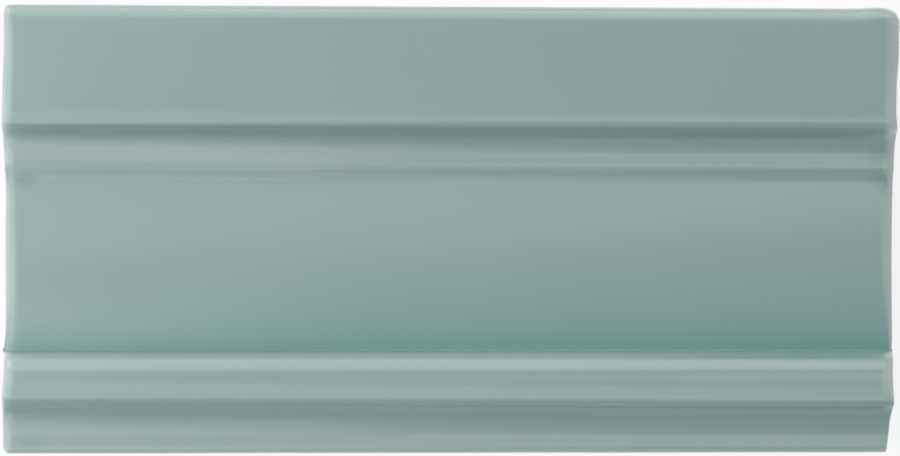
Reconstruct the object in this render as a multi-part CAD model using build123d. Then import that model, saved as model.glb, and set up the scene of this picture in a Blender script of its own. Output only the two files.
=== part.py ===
from build123d import *
from math import radians, tan
import os

# Cornice trim tile: one pressed, glazed and fired piece of ceramic.
# It lies on its back. X runs along the moulding, +Y points up the wall it is made for,
# and +Z points out of that wall. The origin is the centre of the back face. Sizes are millimetres.

# Overall format
tile_length = 150.0
tile_height = 75.0
fascia_thickness = 20.0  # the thickest part, from the back face to the fascia

# The section, from the top edge down. Heights run down the wall, and drops and rises
# are how much nearer to the back face or further from it the surface comes.
fascia_height = 17.7
fascia_ease_height = 2.6  # the foot of the fascia, which already falls away a little
fascia_ease_drop = 0.3
upper_cavetto_height = 4.4
upper_cavetto_drop = 5.0
upper_cavetto_sag = 0.95
arris_band_height = 2.1  # the narrow band between the upper cavetto and the quirk
arris_band_drop = 0.25
quirk_height = 2.1  # the short slope between the arris and the head of the cove
quirk_drop = 1.25
cove_fall = 0.95  # how much nearer to the back the foot of the cove lies than its head
cove_sag = 1.2
bead_shoulder = 0.6  # the height of the steep slope from the foot of the cove up to the bead
bead_rise = 4.1
bead_height = 5.1
bead_ease_height = 3.0  # the foot of the bead, which falls away as the fascia's does
bead_ease_drop = 0.37
lower_cavetto_height = 5.6
lower_cavetto_drop = 5.9
lower_cavetto_sag = 0.95
lip_band_height = 3.0
lip_band_drop = 0.4

# Rounding of the glazed edges and hollows
fascia_top_radius = 3.0
ease_radius = 8.0
fascia_foot_radius = 2.2
cavetto_foot_radius = 3.0
arris_radius = 2.4
cove_head_radius = 5.4
cove_foot_radius = 0.2
bead_top_radius = 3.9
bead_foot_radius = 1.7
lip_radius = 1.6
end_radius = 1.5

# Keying grooves, pressed into the back so that adhesive grips
groove_count = 6
groove_floor_width = 5.0
groove_depth = 0.8
groove_flank_angle = 45.0
groove_end_margin = 8.0  # from the ends of the tile to the mouth of each groove
groove_side_margin = 7.0  # from the long edges of the tile to the outermost grooves

half_length = tile_length / 2
half_height = tile_height / 2


def below(corner, height, drop):
    """The corner that lies this much further down the wall and nearer to the back."""
    return (corner[0] - height, corner[1] - drop)


def above(corner, height, drop):
    """The corner from which the section comes down to this one."""
    return (corner[0] + height, corner[1] + drop)


def section():
    """The face from the top edge down to the lip, closed along the back, as points (Y, Z)."""
    top_edge = (half_height, fascia_thickness)
    fascia_end = below(top_edge, fascia_height, 0)
    fascia_foot = below(fascia_end, fascia_ease_height, fascia_ease_drop)
    cavetto_foot = below(fascia_foot, upper_cavetto_height, upper_cavetto_drop)
    arris = below(cavetto_foot, arris_band_height, arris_band_drop)
    cove_head = below(arris, quirk_height, quirk_drop)

    lip_drop = bead_ease_drop + lower_cavetto_drop + lip_band_drop
    lip = (-half_height, cove_head[1] - cove_fall + bead_rise - lip_drop)
    lip_band_top = above(lip, lip_band_height, lip_band_drop)
    bead_foot = above(lip_band_top, lower_cavetto_height, lower_cavetto_drop)
    bead_end = above(bead_foot, bead_ease_height, bead_ease_drop)
    bead_top = above(bead_end, bead_height, 0)
    cove_foot = above(bead_top, bead_shoulder, -bead_rise)

    with BuildSketch(Plane.YZ) as sketch:
        with BuildLine():
            Polyline((half_height, 0), top_edge, fascia_end, fascia_foot)
            SagittaArc(fascia_foot, cavetto_foot, upper_cavetto_sag)
            Polyline(cavetto_foot, arris, cove_head)
            SagittaArc(cove_head, cove_foot, cove_sag)
            Polyline(cove_foot, bead_top, bead_end, bead_foot)
            SagittaArc(bead_foot, lip_band_top, lower_cavetto_sag)
            Polyline(lip_band_top, lip, (-half_height, 0), (half_height, 0))
        make_face()
        for corner, radius in (
            (top_edge, fascia_top_radius),
            (fascia_end, ease_radius),
            (fascia_foot, fascia_foot_radius),
            (cavetto_foot, cavetto_foot_radius),
            (arris, arris_radius),
            (cove_head, cove_head_radius),
            (cove_foot, cove_foot_radius),
            (bead_top, bead_top_radius),
            (bead_end, ease_radius),
            (bead_foot, bead_foot_radius),
            (lip_band_top, cavetto_foot_radius),
            (lip, lip_radius),
        ):
            fillet(sketch.vertices().sort_by_distance((*corner, 0))[0], radius)
    return sketch.sketch


def keying_grooves():
    """Shallow grooves along the back, with round ends and sloping flanks."""
    mouth_width = groove_floor_width + 2 * groove_depth * tan(radians(groove_flank_angle))
    mouth_length = tile_length - 2 * groove_end_margin
    pitch = (tile_height - 2 * groove_side_margin - mouth_width) / (groove_count - 1)
    with BuildPart() as grooves:
        with BuildSketch():
            with GridLocations(0, pitch, 1, groove_count):
                SlotOverall(mouth_length, mouth_width)
        extrude(amount=groove_depth, taper=groove_flank_angle)
    return grooves.part


def cornice_tile():
    """The section drawn out to the tile's length, its ends rounded and its back grooved."""
    bar = extrude(section(), amount=half_length, both=True)
    end_edges = bar.faces().filter_by(Axis.X).edges().sort_by(Axis.Z)
    glazed_edges = end_edges[2:]  # all but the two that lie on the back
    return fillet(glazed_edges, end_radius) - keying_grooves()


tile = cornice_tile()
os.makedirs("parts", exist_ok=True)
export_step(tile, "parts/cornice_tile.step")
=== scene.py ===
from math import pi, radians

import bpy
import numpy as np
from mathutils import Matrix, Quaternion, Vector


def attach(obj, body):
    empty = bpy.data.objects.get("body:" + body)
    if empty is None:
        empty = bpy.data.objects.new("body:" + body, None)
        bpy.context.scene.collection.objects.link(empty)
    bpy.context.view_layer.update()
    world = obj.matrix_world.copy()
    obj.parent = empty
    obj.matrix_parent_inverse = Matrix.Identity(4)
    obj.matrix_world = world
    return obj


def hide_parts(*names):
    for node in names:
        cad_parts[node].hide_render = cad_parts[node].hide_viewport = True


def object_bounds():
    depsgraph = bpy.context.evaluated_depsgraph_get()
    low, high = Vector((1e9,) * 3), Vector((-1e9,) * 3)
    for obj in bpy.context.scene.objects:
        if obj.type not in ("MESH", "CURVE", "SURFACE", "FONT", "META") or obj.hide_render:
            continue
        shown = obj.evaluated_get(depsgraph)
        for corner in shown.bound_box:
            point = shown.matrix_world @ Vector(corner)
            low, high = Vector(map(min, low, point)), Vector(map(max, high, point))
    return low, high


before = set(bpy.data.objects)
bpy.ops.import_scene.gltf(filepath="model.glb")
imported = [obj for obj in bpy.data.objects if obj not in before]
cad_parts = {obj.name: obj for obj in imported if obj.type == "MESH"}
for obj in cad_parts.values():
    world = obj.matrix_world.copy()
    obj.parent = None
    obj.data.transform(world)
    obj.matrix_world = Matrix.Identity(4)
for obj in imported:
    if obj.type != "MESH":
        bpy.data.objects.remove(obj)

mm = 0.001
cadLow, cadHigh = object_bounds()
halfLength, halfHeight = (cadHigh.x - cadLow.x) / 2 / mm, (cadHigh.y - cadLow.y) / 2 / mm

# The section of the tile, in millimetres: up the top side, down over the face, down the bottom side.
# Each stretch says how far it runs down the wall, how far it rises from the back, how deep it is
# hollowed, and the radius of the corner at its end.
tileSection = {
    "topSide": (0.0, 20.0, 0.0, 2.0),
    "fascia": (17.7, 0.0, 0.0, 10.0),
    "fasciaEase": (2.6, -0.3, 0.0, 2.2),
    "upperCavetto": (4.4, -5.0, 0.95, 3.0),
    "arrisBand": (2.1, -0.25, 0.0, 2.4),
    "quirk": (2.1, -1.25, 0.0, 5.4),
    "cove": (28.8, -0.95, 1.2, 0.05),
    "beadShoulder": (0.6, 4.1, 0.0, 3.9),
    "bead": (5.1, 0.0, 0.0, 8.0),
    "beadEase": (3.0, -0.37, 0.0, 1.7),
    "lowerCavetto": (5.6, -5.9, 0.95, 3.0),
    "lip": (3.0, -0.4, 0.0, 1.6),
    "bottomSide": (0.0, -9.68, 0.0, 0.0),
}

# How the section is worked out and shared into rows, in millimetres
sectionWork = {
    "spanPoints": 500,
    "arcPoints": 60,
    "step": 0.02,
    "softening": 0.05,  # the glaze eases every join of line and arc by this much
    "topSoftening": 0.8,  # and by this much over the top edge
    "overTop": ((29.5, 0.0), (33.5, 1.0)),  # knots (height up the wall, share of that softening)
    "topRoll": (32.0, 0.1),  # from where the fascia already falls towards the top edge, and how far
    "topSideLeft": 2.4,  # how far below the round of an edge the face ends and the side begins
    "lipSideLeft": 0.6,
    "rows": 212,
    "crowding": 3.0,  # how much closer rows lie where the section bends
}


def hollowSpan(start, end, hollow):
    # The straight way from start to end, pushed in by the hollow times 1 - (2t - 1)^2, t from 0 to 1.
    t = np.linspace(0, 1, sectionWork["spanPoints"])[:, None]
    way = end - start
    inward = np.array([-way[1], way[0]]) / np.hypot(*way)
    return start + way * t + inward * hollow * (1 - (2 * t - 1) ** 2)


def inwardNormals(points):
    # The tangent turned a quarter to the left, which points into the body all the way round.
    tangent = np.gradient(points, axis=0)
    tangent /= np.linalg.norm(tangent, axis=1)[:, None]
    return np.stack([-tangent[:, 1], tangent[:, 0]], axis=1)


def roundedJoin(before, after, radius):
    # A circle of the radius touches both lines where their offsets by the radius meet. The corner
    # becomes the shorter arc of that circle between the two points of touch.
    into, out = before[-1] - before[-2], after[1] - after[0]
    reach = radius * np.sign(into[0] * out[1] - into[1] * out[0])
    offBefore = before + reach * inwardNormals(before)
    offAfter = after + reach * inwardNormals(after)
    apart = np.linalg.norm(offBefore[:, None] - offAfter[None], axis=2)
    i, j = np.unravel_index(np.argmin(apart), apart.shape)
    centre = (offBefore[i] + offAfter[j]) / 2
    first, last = (np.arctan2(*(p - centre)[::-1]) for p in (before[i], after[j]))
    sweep = (last - first + pi) % (2 * pi) - pi
    angle = first + sweep * np.linspace(0, 1, sectionWork["arcPoints"])
    arc = centre + radius * np.stack([np.cos(angle), np.sin(angle)], axis=1)
    return before[:i], arc, after[j + 1:]


def spread(line, weights, count):
    # Points at equal steps of the weighted length along a line, with all their columns kept.
    steps = np.linalg.norm(np.diff(line[:, :2], axis=0), axis=1) * (weights[1:] + weights[:-1]) / 2
    travelled = np.concatenate([[0], np.cumsum(steps)])
    wanted = np.linspace(0, travelled[-1], count)
    return np.stack([np.interp(wanted, travelled, column) for column in line.T], axis=1)


def softened(points, width):
    # Every point becomes the mean of its neighbours, weighted by a bell curve of the given width.
    step = sectionWork["step"]
    reach = int(4 * width / step)
    bell = np.exp(-0.5 * (np.arange(-reach, reach + 1) * step / width) ** 2)
    bell /= bell.sum()
    before = 2 * points[0] - points[reach:0:-1]
    after = 2 * points[-1] - points[-2:-reach - 2:-1]
    padded = np.concatenate([before, points, after])
    return np.stack([np.convolve(column, bell, "valid") for column in padded.T], axis=1)


def tileProfile(section):
    # The rounded section as rows of (Y, Z) and their inward normals.
    work = sectionWork
    corners = [np.array([halfHeight, 0.0])]
    for run, rise, hollow, radius in section.values():
        corners.append(corners[-1] + [-run, rise])
    spans = [hollowSpan(a, b, s[2]) for a, b, s in zip(corners, corners[1:], section.values())]
    parts, current = [], spans[0]
    for after, stretch in zip(spans[1:], section.values()):
        kept, arc, current = roundedJoin(current, after, stretch[3])
        parts += [kept, arc]
    line = np.concatenate(parts + [current])
    line = line[np.concatenate([[True], np.linalg.norm(np.diff(line, axis=0), axis=1) > 1e-6])]
    length = np.linalg.norm(np.diff(line, axis=0), axis=1).sum()
    line = spread(line, np.ones(len(line)), int(length / work["step"]))
    line = softened(line, work["softening"])
    overTop = eased(work["overTop"], line[:, :1])
    line = line + (softened(line, work["topSoftening"]) - line) * overTop
    start, fall = work["topRoll"]  # the fall grows with the square of the way to the edge
    line[:, 1] -= fall * np.clip((line[:, 0] - start) / (halfHeight - start), 0, 1) ** 2

    inward = inwardNormals(line)
    bend = np.linalg.norm(np.gradient(inward, axis=0), axis=1) / work["step"]
    table = np.column_stack([line, inward])

    topCut = section["topSide"][1] - section["topSide"][3] - work["topSideLeft"]
    lipCut = -section["bottomSide"][1] - section["lip"][3] - work["lipSideLeft"]
    first = np.argmax(line[:, 1] > topCut)
    last = len(line) - np.argmax(line[::-1, 1] > lipCut)
    rows = spread(table[first:last], 1 + work["crowding"] * bend[first:last], work["rows"])
    return rows[:, 0:2], rows[:, 2:4]


# How the section is carried along X, in millimetres. Knots are (height up the wall, value), and
# those of a stray are (place along X, stray up the wall).
tileBody = {
    "roundColumns": 9,
    "endColumns": 12,  # closer ones, over the stretch that follows each rounded end
    "endStretch": 10.0,
    "middleColumns": 122,
    # The round of each end: how deep it is, how far it stays in from the format, how long it is
    "leftRadius": ((-37.5, 2.0), (-33.0, 1.9), (-29.5, 1.6), (-27.0, 1.6), (-24.0, 2.0), (14.0, 2.0),
                   (17.0, 1.5), (20.0, 1.5), (24.0, 2.0), (34.0, 2.0), (37.5, 1.7)),
    "rightRadius": ((-37.5, 0.3), (-29.0, 0.4), (-26.0, 1.3), (-20.0, 2.0), (14.0, 2.0), (17.0, 1.5),
                    (20.0, 1.5), (24.0, 2.0), (34.0, 2.0), (37.5, 2.7)),
    "leftInset": ((-37.5, 0.0), (-33.0, 0.0), (-29.0, 0.15), (-24.0, 0.4), (-20.9, 0.46), (-20.2, 0.22),
                  (-17.0, 0.48), (0.0, 0.4), (6.0, 0.5), (16.0, 0.2), (23.0, 0.3), (30.0, 0.5),
                  (37.5, 0.5)),
    "rightInset": ((-37.5, 1.22), (-33.0, 0.9), (-29.0, 0.7), (-24.0, 0.82), (-20.8, 0.6), (-20.2, 0.46),
                   (-18.0, 0.32), (6.0, 0.35), (16.0, 0.28), (20.0, 0.62), (24.0, 0.5), (30.0, 0.12),
                   (37.5, 0.0)),
    "leftReach": ((-37.5, 1.5), (-34.0, 2.2), (-30.0, 2.4), (32.0, 2.3), (35.5, 1.8), (37.5, 1.3)),
    "rightReach": ((-37.5, 0.3), (-29.0, 0.4), (-26.0, 2.5), (32.0, 2.5), (35.5, 2.8), (37.5, 3.3)),
    # 1 where the round ends sink in along the section's normal, 0 where they sink straight down
    "tuckedIn": ((-36.5, 1.0), (-33.5, 0.0), (32.5, 0.0), (35.5, 1.0)),
    "endCurve": 1.5,  # above 1 the rounding of the ends sets in gently
    "taper": 0.0075,  # the share by which the tile is less high at the right end than at the left
    "pressedIn": 0.045,  # keeps the waves of the glaze inside the format
    "waveHeight": 0.012,
    "waveLength": 18.0,
    "waveNarrowing": 1.6,  # how much shorter the waves are up the wall than along it
    "waveSeed": 11,
}

# Lines of the moulding that stray: the height at which each lies, how far its stray reaches, knots
strays = {
    "arris": (11.6, 3.0, ((-54.0, 0.0), (-43.0, -0.25), (-23.0, -0.35), (-10.0, 0.0), (75.0, 0.0))),
    "beadFoot": (-28.8, 2.5, ((-75.0, 0.45), (75.0, -0.33))),
}
swell = {"place": 71.0, "reach": 2.4, "from": 33.0, "to": 37.0, "height": 0.2}  # on the top edge


def eased(knots, place):
    # From one knot to the next the value goes as 3t^2 - 2t^3, and past the last it stays.
    at, value = np.array(knots).T
    i = np.clip(np.searchsorted(at, place) - 1, 0, len(at) - 2)
    t = np.clip((place - at[i]) / (at[i + 1] - at[i]), 0, 1)
    return value[i] + (value[i + 1] - value[i]) * t * t * (3 - 2 * t)


def softWaves(x, y, length, seed):
    # A sum of nine sine waves that run in random directions, one to two and a half lengths long.
    random = np.random.default_rng(seed)
    total = np.zeros(np.broadcast(x, y).shape)
    for turn, stretch, phase in zip(*random.random((3, 9))):
        across = x * np.cos(turn * pi) + y * np.sin(turn * pi)
        total += np.sin(2 * pi * (across / length / (1 + 1.5 * stretch) + phase))
    return total / 3


def columnsAlong(body):
    # Each column has a place from -1 to 1 between the rounded ends, and a lean that grows to a
    # quarter turn as the surface rounds over the end.
    lean = np.linspace(0, pi / 2, body["roundColumns"] + 1)[1:]
    inner = 1 - body["endStretch"] / halfLength
    ends = np.linspace(inner, 1, body["endColumns"] + 1)
    middle = np.linspace(-inner, inner, body["middleColumns"])[1:-1]
    place = np.concatenate([-np.ones(len(lean)), -ends[::-1], middle, ends, np.ones(len(lean))])
    flat = np.zeros(len(place) - 2 * len(lean))
    return place, np.concatenate([-lean[::-1], flat, lean])


# How the glaze runs, in millimetres: it pools at the foot of the cove, where its deeper colour is also
# painted shade in that corner, and thins on slopes, at the rims of the long edges and over the round
# ends
glazeRun = {
    "poolHeight": -20.2,
    # The pool and its painted shade reach further up the cove towards the right, away from the lamps
    "upTheCove": ((-75.0, 3.6), (-10.0, 6.2), (75.0, 6.6)),  # how far the pool reaches, along X
    "poolFade": 1.3,
    "upTheBead": 0.22,
    # Painted shade in the hollow below the bead, darker towards the right, away from the lamps
    "underBeadShade": (-30.3, 1.5, 0.48, 0.14),  # the hollow below the bead: height, reach, depth, slant
    "slopeThin": 0.08,
    "rimThin": 0.4,
    "rims": ((-36.5, 1.0), (-35.0, 0.0), (35.0, 0.0), (37.3, 1.0)),
    "rimCurve": 0.7,
    "endThin": (0.6, 0.8),  # how far the left and the right end are thinned
    "endThinCurve": (4.0, 1.1),  # the higher, the closer to the very end
    # What fades down the sides is the glaze colour with its painted shade and painted light
    "wallFade": 3,  # how soon what gathers at the rim is gone on the way down the sides
}
# Where else it gathers and where it runs thin, and where shade and light are painted: the place, how far
# that reaches along X and up the wall, and how deep, with less than 0 for thin or lighter
glazeAndShadingSpots = (
    # Glaze pooled in the hollows by the ends
    (-71.4, 8.4, 2.2, 1.2, 0.6),
    (71.6, 13.4, 1.6, 1.2, 0.6),
    (72.3, 8.4, 1.6, 1.3, 0.6),
    (-70.5, -35.6, 1.6, 0.9, 0.3),
    # Painted shade where the depth is above 0 and painted light where it is below 0
    (-60.0, 9.6, 20.0, 0.9, 0.5),
    (50.0, 15.0, 40.0, 0.8, 0.14),
    (75.0, -19.8, 30.0, 1.4, 0.3),
    (-74.8, -20.0, 1.0, 0.4, -0.6),
    (-44.0, 12.5, 32.0, 1.2, -0.12),
    (-23.0, 9.6, 10.0, 0.7, -0.13),
    (-23.0, 8.1, 12.0, 0.8, 0.13),
    (-50.0, 10.4, 30.0, 0.5, 0.12),
    (70.0, 11.8, 35.0, 0.6, -0.16),
    (-30.0, -32.2, 20.0, 1.0, -0.15),
    (0.0, -21.2, 500.0, 0.5, -0.16),
    (75.0, -22.0, 40.0, 1.0, 0.28),
    (70.0, -24.4, 60.0, 0.6, -0.16),
    (75.0, -31.5, 45.0, 2.0, 0.12),
)


def glazeWithPaintedShading(x, y, inward, lean):
    # How thick the glaze lies, -1 to 1, with painted shade added in the pool, below the bead and at most
    # spots above 0, and painted light at spots below 0: exp(-(distance / reach)^fade) up from the pool
    # and exp(-(distance / reach)^2) below it and about the others, which all fade over the round ends,
    # less the shares by which the slope, the rims and the ends thin it. An end's share is its own
    # times |sin lean|^curve.
    run = glazeRun
    # Pooled glaze at the foot of the cove, which is also painted shade in that corner
    above = y - run["poolHeight"]
    upward = np.exp(-(np.maximum(above, 0) / eased(run["upTheCove"], x)) ** run["poolFade"])
    pooledAndShaded = np.where(above > 0, upward, np.exp(-(above / run["upTheBead"]) ** 2))
    slope = (1 - np.abs(inward[:, 1:2])) * (1 - pooledAndShaded)
    rim = eased(run["rims"], y) * slope ** run["rimCurve"]
    # Painted shade in the hollow below the bead, darker towards the right
    at, reach, depth, slant = run["underBeadShade"]
    pooledAndShaded = pooledAndShaded + (depth + slant * x / halfLength) * np.exp(-((y - at) / reach) ** 2)
    # The spots: glaze pooled by the ends, and painted shade and painted light elsewhere
    for atX, atY, reachX, reachY, depth in glazeAndShadingSpots:
        pooledAndShaded = pooledAndShaded + depth * np.exp(-((x - atX) / reachX) ** 2 - ((y - atY) / reachY) ** 2)
    most, curve = (np.where(lean < 0, *run[name]) for name in ("endThin", "endThinCurve"))
    end = most * np.abs(np.sin(lean)) ** curve
    thinned = run["slopeThin"] * slope + run["rimThin"] * rim + end
    return np.clip(pooledAndShaded * (1 - end) - np.clip(thinned, 0, 1), -1, 1)


def glazedFace(body):
    # The profile at each row goes straight along X. Past the last straight column it sinks by
    # R(1 - cos lean)^curve, along its normal at the long edges and straight down elsewhere, while X
    # grows by the reach times sin lean. Soft waves press it in and the swell lifts it. Each straying
    # line takes its neighbours along by exp(-(distance / reach)^2) of its stray.
    profile, inward = tileProfile(tileSection)
    place, lean = columnsAlong(body)
    y, z = profile.T[:, :, None]
    inY, inZ = inward.T[:, :, None]
    leftward = place < 0
    radius = np.where(leftward, eased(body["leftRadius"], y), eased(body["rightRadius"], y))
    inset = np.where(leftward, eased(body["leftInset"], y), eased(body["rightInset"], y))
    drawnIn = radius * (1 - np.cos(lean)) ** body["endCurve"] + body["pressedIn"]
    reach = np.where(leftward, eased(body["leftReach"], y), eased(body["rightReach"], y))
    x = place * (halfLength - reach) + reach * np.sin(lean)
    x = x * (1 - (inset + body["pressedIn"]) / halfLength)
    raised = swell["height"] * np.exp(-((x - swell["place"]) / swell["reach"]) ** 2)
    raised = raised * eased(((swell["from"], 0), (swell["to"], 1)), y)
    waves = softWaves(x, body["waveNarrowing"] * y, body["waveLength"], body["waveSeed"])
    drawnIn = drawnIn + body["waveHeight"] * waves - raised
    stray = sum(eased(knots, x) * np.exp(-((y - at) / reach) ** 2)
                for at, reach, knots in strays.values())
    tucked = eased(body["tuckedIn"], y)
    y, z = y + stray + inY * drawnIn * tucked, z + drawnIn * (inZ * tucked - (1 - tucked))
    y = y * (1 - body["taper"] / 2 * (1 + x / halfLength))
    return x, y, z, glazeWithPaintedShading(x, profile[:, 0:1], inward, lean), lean


# The sides and the back, in millimetres
tileSides = {
    "glazedRows": 10,
    "lipRows": 4,
    "bareRows": 3,
    "roundRows": 4,
    "glazeLine": 2.3,  # how far above the back the glaze ends
    "glazeLineWander": 0.5,
    "wanderLength": 9.0,
    "wanderSeed": 5,
    "glazeThickness": 0.22,
    "glazeLip": 0.3,
    "backRound": 0.45,
}
keyingGrooves = {"count": 6, "floorWidth": 5.0, "depth": 0.8, "endMargin": 8.0, "sideMargin": 7.0}


def quarter(rows):
    # Even steps up to a quarter turn, down a column.
    return np.linspace(0, pi / 2, rows + 1)[1:, None]


def sideWall(rim, outward, evenly):
    # From the rim the glaze goes straight down to its wandering end and rolls in there by its
    # thickness, as T(1 - cos a). The bare body goes on down and rounds into the back the same way.
    # Where the points of the rim are crowded they spread evenly along the wall on the way down.
    s = tileSides
    x, y, z = rim
    outX, outY = outward
    footY = np.linspace(y[0], y[-1], len(y)) if evenly else y
    footX = np.interp(-footY, -y, x) if evenly else x
    thick, turned = s["glazeThickness"], s["backRound"]
    wander = softWaves(footX, footY, s["wanderLength"], s["wanderSeed"])
    lineZ = s["glazeLine"] + s["glazeLineWander"] * wander
    share = np.linspace(0, 1, s["glazedRows"] + 1)[:, None]
    down = np.linspace(0, 1, s["bareRows"] + 1)[1:, None]
    lip, turn = quarter(s["lipRows"]), quarter(s["roundRows"])
    shares = np.concatenate([share, np.ones((len(lip) + len(down) + len(turn), 1))])
    inset = np.concatenate([0 * share, thick * (1 - np.cos(lip)), thick + 0 * down,
                            thick + turned * (1 - np.cos(turn))])
    lipTop = lineZ + s["glazeLip"]
    heights = np.concatenate([z + (lipTop - z) * share, lipTop - s["glazeLip"] * np.sin(lip),
                              lineZ + (turned - lineZ) * down, turned * (1 - np.sin(turn)) + 0 * z])
    wallY = y + (footY - y) * shares
    wallX = (np.interp(-wallY, -y, x) if evenly else x) - outX * inset
    return wallX, wallY - outY * inset, heights, 1 - shares, s["glazedRows"] + s["lipRows"]


def tileBack(top, bottom, left, right):
    # Between four rims the sheet is the blend across plus the blend down less the blend of the
    # corners. Each groove sinks in over a flank as wide as it is deep, from a line along its middle.
    u = ((top[0] - top[0, 0]) / (top[0, -1] - top[0, 0]))[None, :]
    v = np.linspace(0, 1, left.shape[1])[:, None]
    x, y = (t * (1 - v) + b * v + l[:, None] * (1 - u) + r[:, None] * u
            - (t[0] * (1 - u) + t[-1] * u) * (1 - v) - (b[0] * (1 - u) + b[-1] * u) * v
            for t, b, l, r in zip(top, bottom, left, right))
    g = keyingGrooves
    half = g["floorWidth"] / 2 + g["depth"]
    pitch = (2 * halfHeight - 2 * g["sideMargin"] - 2 * half) / (g["count"] - 1)
    outermost = (g["count"] - 1) / 2
    nearest = pitch * np.clip(np.round(y / pitch - 0.5) + 0.5, -outermost, outermost)
    past = np.maximum(np.abs(x) - (halfLength - g["endMargin"] - half), 0)
    t = np.clip((half - np.hypot(y - nearest, past)) / g["depth"], 0, 1)
    return x, y, g["depth"] * t * t * (3 - 2 * t)


def gridFaces(rows, columns, start, turned):
    # Four corners of each cell of a grid whose points are numbered row by row.
    corner = (np.arange(rows - 1)[:, None] * columns + np.arange(columns - 1)).ravel() + start
    order = (0, 1, columns + 1, columns) if turned else (0, columns, columns + 1, 1)
    return np.stack([corner + step for step in order], axis=1)


def buildTile():
    # Six grids that meet along their rims: the face, a wall from each of its four rims and the back.
    # By the top right corner the end's rim doubles back, and its wall starts up to 0.035 mm off it, so
    # the seams there and along the top edge of the back stay open by a hair.
    x, y, z, glazeAndShading, lean = glazedFace(tileBody)
    grids = [(x, y, z, glazeAndShading, x.shape[0] - 1, False)]
    sign = np.sign(lean)
    atTop = np.stack([np.abs(np.sin(lean)) * sign, np.cos(lean)])
    atEnd = np.stack([np.ones(len(x)), np.zeros(len(x))])
    rims = {
        "top": (np.s_[0, :], atTop, False, True),
        "bottom": (np.s_[-1, :], atTop * [[1], [-1]], False, False),
        "left": (np.s_[:, 0], -atEnd, True, False),
        "right": (np.s_[:, -1], atEnd, True, True),
    }
    feet = {}
    for name, (rim, outward, evenly, turned) in rims.items():
        wallX, wallY, wallZ, kept, glazedRows = sideWall((x[rim], y[rim], z[rim]), outward, evenly)
        grids.append((wallX, wallY, wallZ, glazeAndShading[rim] * kept ** glazeRun["wallFade"], glazedRows,
                      turned))
        feet[name] = np.stack([wallX[-1], wallY[-1]])
    backX, backY, backZ = tileBack(**feet)
    grids.append((backX, backY, backZ, 0 * backX, 0, True))

    # thick collects the glaze colour with its painted shade and painted light, point by point
    points, faces, slots, thick, start = [], [], [], [], 0
    for gridX, gridY, gridZ, glazeAndPaintedShading, glazedRows, turned in grids:
        rows, columns = gridX.shape
        points.append(np.stack([gridX, gridY, gridZ], axis=-1).reshape(-1, 3))
        thick.append(glazeAndPaintedShading.ravel())
        faces.append(gridFaces(rows, columns, start, turned))
        slots.append(np.repeat(np.arange(rows - 1) >= glazedRows, columns - 1))
        start += gridX.size
    points, faces, slots = np.concatenate(points), np.concatenate(faces), np.concatenate(slots)
    _, index, inverse = np.unique(np.round(points, 4), axis=0, return_index=True, return_inverse=True)
    faces = inverse.ravel()[faces]  # points that two grids share become one
    points, thick = points[index], np.concatenate(thick)[index]

    mesh = bpy.data.meshes.new("cornice_trim_tile")
    mesh.from_pydata((points * mm).tolist(), [], faces.tolist())
    mesh.polygons.foreach_set("material_index", slots.astype(np.int32))
    mesh.polygons.foreach_set("use_smooth", np.ones(len(faces), bool))
    mesh.attributes.new("glazeAndPaintedShading", "FLOAT", "POINT").data.foreach_set("value", thick.astype(np.float32))
    mesh.update()
    a, b, c, d = (points[faces[:, corner]] for corner in range(4))
    volume = (a * (np.cross(b, c) + np.cross(c, d))).sum() / 6
    wrong = mesh.validate()
    print("tile:", len(points), "points,", len(faces), "faces,", round(volume), "mm3, mended:", wrong)
    piece = bpy.data.objects.new("cornice_trim_tile", mesh)
    bpy.context.scene.collection.objects.link(piece)
    return piece


tile = buildTile()

# Glaze and body: colours, and how they vary. Scales are features per metre, and depths are metres.
glazeLook = {
    "thin": (0.520, 0.545, 0.525, 1),
    "even": (0.143, 0.231, 0.219, 1),
    "deep": (0.059, 0.172, 0.150, 1),
    "cloudScale": 45.0,
    "cloudShare": 0.05,  # how far the clouds thin and thicken the glaze
    "rippleScale": 260.0,
    "rippleStrength": 0.04,
    "rippleDepth": 0.0001,
    "roughness": 0.30,
    "coat": 0.8,
    "coatRoughness": 0.2,
}
bodyLook = {
    "pale": (0.66, 0.60, 0.51, 1),
    "dark": (0.50, 0.43, 0.34, 1),
    "patchScale": 55.0,
    "patchContrast": 1.6,
    "grainScale": 1400.0,
    "grainContrast": 3.0,
    "grainStrength": 0.35,
    "grainDepth": 0.00012,
    "roughness": 0.88,
}


def mottleGroup():
    # Noise over the object, stretched about its middle by the contrast and kept from 0 to 1.
    group = bpy.data.node_groups.new("mottle", "ShaderNodeTree")
    for name in ("Scale", "Contrast"):
        group.interface.new_socket(name, in_out="INPUT", socket_type="NodeSocketFloat")
    group.interface.new_socket("Share", in_out="OUTPUT", socket_type="NodeSocketFloat")
    asked, given = group.nodes.new("NodeGroupInput"), group.nodes.new("NodeGroupOutput")
    place = group.nodes.new("ShaderNodeTexCoord")
    noise = group.nodes.new("ShaderNodeTexNoise")
    centred, stretched = group.nodes.new("ShaderNodeMath"), group.nodes.new("ShaderNodeMath")
    centred.operation = "SUBTRACT"
    centred.inputs[1].default_value = 0.5
    stretched.operation = "MULTIPLY_ADD"
    stretched.use_clamp = True
    stretched.inputs[2].default_value = 0.5
    group.links.new(place.outputs["Object"], noise.inputs["Vector"])
    group.links.new(asked.outputs["Scale"], noise.inputs["Scale"])
    group.links.new(noise.outputs["Fac"], centred.inputs[0])
    group.links.new(centred.outputs[0], stretched.inputs[0])
    group.links.new(asked.outputs["Contrast"], stretched.inputs[1])
    group.links.new(stretched.outputs[0], given.inputs["Share"])
    return group


def mottled(tree, group, scale, contrast):
    used = tree.nodes.new("ShaderNodeGroup")
    used.node_tree = group
    used.inputs["Scale"].default_value = scale
    used.inputs["Contrast"].default_value = contrast
    return used.outputs["Share"]


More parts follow.
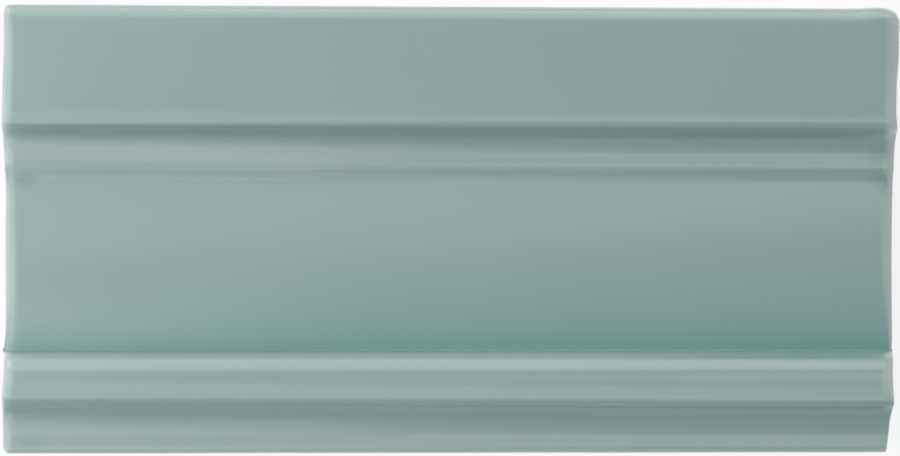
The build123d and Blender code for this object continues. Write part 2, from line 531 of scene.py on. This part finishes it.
def roughened(tree, shader, height, strength, depth):
    bump = tree.nodes.new("ShaderNodeBump")
    bump.inputs["Strength"].default_value = strength
    bump.inputs["Distance"].default_value = depth
    tree.links.new(height, bump.inputs["Height"])
    tree.links.new(bump.outputs["Normal"], shader.inputs["Normal"])


def nodeMaterial(name):
    material = bpy.data.materials.new(name)
    material.use_nodes = True
    tree = material.node_tree
    return material, tree, tree.nodes["Principled BSDF"]


def glazeMaterial(look, mottle):
    # The glaze thickness, with its painted shade and painted light, plus its faint clouds, -1 to 1,
    # picks the colour from thin to deep.
    material, tree, shader = nodeMaterial("seaGreenGlaze")
    glazeAndPaintedShading = tree.nodes.new("ShaderNodeAttribute")
    glazeAndPaintedShading.attribute_name = "glazeAndPaintedShading"
    clouds = tree.nodes.new("ShaderNodeMath")
    clouds.operation = "MULTIPLY_ADD"
    clouds.inputs[1].default_value = look["cloudShare"]
    share = tree.nodes.new("ShaderNodeMapRange")
    share.inputs["From Min"].default_value = -1 + look["cloudShare"] / 2
    share.inputs["From Max"].default_value = 1 + look["cloudShare"] / 2
    ramp = tree.nodes.new("ShaderNodeValToRGB")
    ramp.color_ramp.elements[0].color = look["thin"]
    ramp.color_ramp.elements[1].color = look["deep"]
    middle = ramp.color_ramp.elements.new(0.5)
    middle.color = look["even"]
    tree.links.new(mottled(tree, mottle, look["cloudScale"], 1.0), clouds.inputs[0])
    tree.links.new(glazeAndPaintedShading.outputs["Fac"], clouds.inputs[2])
    tree.links.new(clouds.outputs[0], share.inputs["Value"])
    tree.links.new(share.outputs["Result"], ramp.inputs["Fac"])
    tree.links.new(ramp.outputs["Color"], shader.inputs["Base Color"])
    ripple = mottled(tree, mottle, look["rippleScale"], 1.0)
    roughened(tree, shader, ripple, look["rippleStrength"], look["rippleDepth"])
    shader.inputs["Roughness"].default_value = look["roughness"]
    shader.inputs["Coat Weight"].default_value = look["coat"]
    shader.inputs["Coat Roughness"].default_value = look["coatRoughness"]
    return material


def bodyMaterial(look, mottle):
    # Fired clay: wide patches of two tones, under a grain that is also its roughness to the touch.
    material, tree, shader = nodeMaterial("firedBody")
    grain = mottled(tree, mottle, look["grainScale"], look["grainContrast"])
    tone = tree.nodes.new("ShaderNodeMath")
    tone.operation = "MULTIPLY"
    mix = tree.nodes.new("ShaderNodeMix")
    mix.data_type = "RGBA"
    mix.inputs[6].default_value = look["dark"]  # 6 and 7 are its colours, and 2 the colour it gives
    mix.inputs[7].default_value = look["pale"]
    tree.links.new(mottled(tree, mottle, look["patchScale"], look["patchContrast"]), tone.inputs[0])
    tree.links.new(grain, tone.inputs[1])
    tree.links.new(tone.outputs[0], mix.inputs[0])
    tree.links.new(mix.outputs[2], shader.inputs["Base Color"])
    roughened(tree, shader, grain, look["grainStrength"], look["grainDepth"])
    shader.inputs["Roughness"].default_value = look["roughness"]
    return material


mottle = mottleGroup()
tile.data.materials.append(glazeMaterial(glazeLook, mottle))
tile.data.materials.append(bodyMaterial(bodyLook, mottle))
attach(tile, "root")
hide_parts("cornice_tile")
print("materials:", [material.name for material in tile.data.materials])

# Camera, in metres: it hangs above the face, a little below and to the left of the middle.
cameraPlan = {
    "place": (-0.025, -0.020, 0.800),
    "aim": (0.000373, 0.000786, 0.0),
    "roll": 0.000956,
    "focalPixels": 4703.0,
    "imagePixels": 900,
    "sensorWidth": 36.0,
}


def placeCamera(plan):
    # It looks from its place at the aim, with +Y up in the image apart from the small roll.
    data = bpy.data.cameras.new("camera")
    camera = bpy.data.objects.new("camera", data)
    bpy.context.scene.collection.objects.link(camera)
    data.sensor_width = plan["sensorWidth"]
    data.lens = plan["focalPixels"] / plan["imagePixels"] * data.sensor_width
    place = Vector(plan["place"])
    back = (place - Vector(plan["aim"])).normalized()
    right = Vector((0, 1, 0)).cross(back).normalized()
    up = back.cross(right)
    turn = Matrix((right, up, back)).transposed()
    roll = Matrix.Rotation(plan["roll"], 4, "Z")
    camera.matrix_world = Matrix.Translation(place) @ turn.to_4x4() @ roll
    bpy.context.scene.camera = camera


placeCamera(cameraPlan)

# Soft boxes, in metres: where each stands seen from the tile, how far off, how large, turned by
# how many degrees about its own axis, and how bright its face is.
lamps = {
    "overheadBox": {"toward": (-0.202, -0.215, 0.955), "distance": 1.72, "size": (2.66, 0.70), "turn": 9,
                    "radiance": 1.33},
    "leftBox": {"toward": (-0.814, 0.182, 0.552), "distance": 0.80, "size": (1.44, 1.53), "turn": -31,
                "radiance": 1.58},
    "topBox": {"toward": (-0.386, 0.869, 0.308), "distance": 0.96, "size": (2.87, 1.15), "turn": -54,
               "radiance": 1.98},
    "nearBox": {"toward": (-0.486, -0.759, 0.433), "distance": 0.80, "size": (1.05, 0.70), "turn": 84,
                "radiance": 1.95},
    "rightBox": {"toward": (0.970, 0.100, 0.220), "distance": 1.30, "size": (2.60, 0.55), "turn": 0,
                 "radiance": 0.85},
}


def placeLamps():
    for name, lamp in lamps.items():
        data = bpy.data.lights.new(name, "AREA")
        data.shape = "RECTANGLE"
        data.size, data.size_y = lamp["size"]
        data.energy = lamp["radiance"] * pi * data.size * data.size_y
        piece = bpy.data.objects.new(name, data)
        bpy.context.scene.collection.objects.link(piece)
        toward = Vector(lamp["toward"]).normalized()
        piece.location = toward * lamp["distance"]
        piece.rotation_mode = "QUATERNION"
        flat = toward.to_track_quat("Z", "Y")
        piece.rotation_quaternion = flat @ Quaternion((0, 0, 1), radians(lamp["turn"]))
        piece.visible_camera = False
    print("lamps:", len(lamps))


placeLamps()


def seenShare(tree):
    # 1 for rays of the camera, of reflections and of glass, and 0 for those that carry the light.
    ray = tree.nodes.new("ShaderNodeLightPath")
    first, second = tree.nodes.new("ShaderNodeMath"), tree.nodes.new("ShaderNodeMath")
    first.operation = second.operation = "MAXIMUM"
    tree.links.new(ray.outputs["Is Camera Ray"], first.inputs[0])
    tree.links.new(ray.outputs["Is Glossy Ray"], first.inputs[1])
    tree.links.new(first.outputs[0], second.inputs[0])
    tree.links.new(ray.outputs["Is Transmission Ray"], second.inputs[1])
    return second.outputs[0]


# The paper that the tile lies on, in metres, and how much of its white is its own where it is seen
studio = {"paper": (0.8, 0.8, 0.8, 1), "paperReach": 4.0, "paperDrop": 0.0002, "whiteShare": 0.85}


def studioFloor():
    # Paper that is partly lit from behind where it is looked at, so that it keeps the shadow, and
    # clear from below.
    material = bpy.data.materials.new("floorPaper")
    material.use_nodes = True
    tree = material.node_tree
    tree.nodes.clear()
    out = tree.nodes.new("ShaderNodeOutputMaterial")
    paper = tree.nodes.new("ShaderNodeBsdfDiffuse")
    paper.inputs["Color"].default_value = studio["paper"]
    white = tree.nodes.new("ShaderNodeEmission")
    clear = tree.nodes.new("ShaderNodeBsdfTransparent")
    side = tree.nodes.new("ShaderNodeNewGeometry")
    share = tree.nodes.new("ShaderNodeMath")
    share.operation = "MULTIPLY"
    share.inputs[1].default_value = studio["whiteShare"]
    mix, under = tree.nodes.new("ShaderNodeMixShader"), tree.nodes.new("ShaderNodeMixShader")
    tree.links.new(seenShare(tree), share.inputs[0])
    tree.links.new(share.outputs[0], mix.inputs["Fac"])
    tree.links.new(paper.outputs[0], mix.inputs[1])
    tree.links.new(white.outputs[0], mix.inputs[2])
    tree.links.new(side.outputs["Backfacing"], under.inputs["Fac"])
    tree.links.new(mix.outputs[0], under.inputs[1])
    tree.links.new(clear.outputs[0], under.inputs[2])
    tree.links.new(under.outputs[0], out.inputs["Surface"])
    reach, low = studio["paperReach"], -studio["paperDrop"]
    corners = [(-reach, -reach, low), (reach, -reach, low), (reach, reach, low), (-reach, reach, low)]
    mesh = bpy.data.meshes.new("floor")
    mesh.from_pydata(corners, [], [(0, 1, 2, 3)])
    mesh.materials.append(material)
    floor = bpy.data.objects.new("floor", mesh)
    bpy.context.scene.collection.objects.link(floor)


def studioWorld():
    # White where it is seen, and no light of its own.
    world = bpy.data.worlds.new("studio")
    bpy.context.scene.world = world
    world.use_nodes = True
    tree = world.node_tree
    background = tree.nodes["Background"]
    background.inputs["Color"].default_value = (1, 1, 1, 1)
    tree.links.new(seenShare(tree), background.inputs["Strength"])


studioFloor()
studioWorld()
bpy.context.scene.view_settings.view_transform = "Standard"
print("studio: floor and world")
